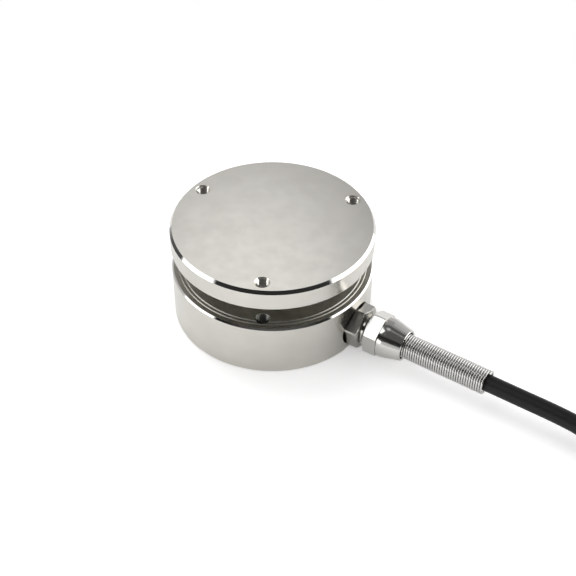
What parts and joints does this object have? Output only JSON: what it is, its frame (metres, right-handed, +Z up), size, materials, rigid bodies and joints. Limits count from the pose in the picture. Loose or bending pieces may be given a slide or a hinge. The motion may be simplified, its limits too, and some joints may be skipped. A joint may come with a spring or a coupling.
{
  "type": "inline load cell",
  "caption": "Round steel inline load cell: two flanges with threaded holes round a grooved neck, and a spring-guarded cable leaving the base sideways.",
  "frame": {"origin": "centre of the base's bottom face, which is the ring that the base stands on", "axes": "+Z up along the load axis through the loading flange, +X along the cable gland, away from the body"},
  "size_m": [0.2295, 0.0851, 0.0314],
  "materials": {
    "body_steel": "satin stainless steel, finely turned and bead blasted",
    "cover_steel": "plain ground stainless steel",
    "screw_steel": "bright machine screw steel",
    "gland_metal": "nickel-plated brass, turned",
    "cap_metal": "nickel-plated brass, turned",
    "spring_steel": "bright nickel-plated spring wire",
    "clamp_brass": "plain brass",
    "lead_copper": "bare copper ribbon",
    "tinned_copper": "tinned copper strands",
    "gasket_rubber": "black flat gasket",
    "seal_rubber": "black moulded seal",
    "gauge_film": "amber film gauge",
    "board_laminate": "green circuit board",
    "resistor_black": "black chip resistor",
    "spacer_nylon": "natural nylon",
    "cable_jacket": "satin black cable jacket",
    "tie_nylon": "black nylon tie",
    "sleeve_black": "black shrink sleeve",
    "core_red": "red core insulation",
    "core_black": "black core insulation",
    "core_green": "green core insulation",
    "core_white": "white core insulation"
  },
  "bodies": {
    "root": {"bare_tips": "tinned_copper", "board_screw": "screw_steel", "board_spacer": "spacer_nylon", "bottom_cover": "cover_steel", "bridge_board": "board_laminate", "cable_coil": "cable_jacket", "cable_end_sleeve": "sleeve_black", "cable_grommet": "seal_rubber", "cable_inner": "cable_jacket", "cable_run": "cable_jacket", "cable_tail": "cable_jacket", "cable_tie": "tie_nylon", "clamp_ring": "clamp_brass", "core_black": "core_black", "core_green": "core_green", "core_red": "core_red", "core_white": "core_white", "cover_gasket": "gasket_rubber", "cover_screws": "screw_steel", "drain_wire": "tinned_copper", "gauge_leads": "lead_copper", "gland_body": "gland_metal", "gland_cap": "cap_metal", "gland_washer": "seal_rubber", "inner_core_black": "core_black", "inner_core_green": "core_green", "inner_core_red": "core_red", "inner_core_white": "core_white", "sensing_body": "body_steel", "strain_gauge_1": "gauge_film", "strain_gauge_2": "gauge_film", "strain_gauge_3": "gauge_film", "strain_gauge_4": "gauge_film", "strain_relief_spring": "spring_steel", "trim_resistors": "resistor_black"}
  },
  "joints": []
}
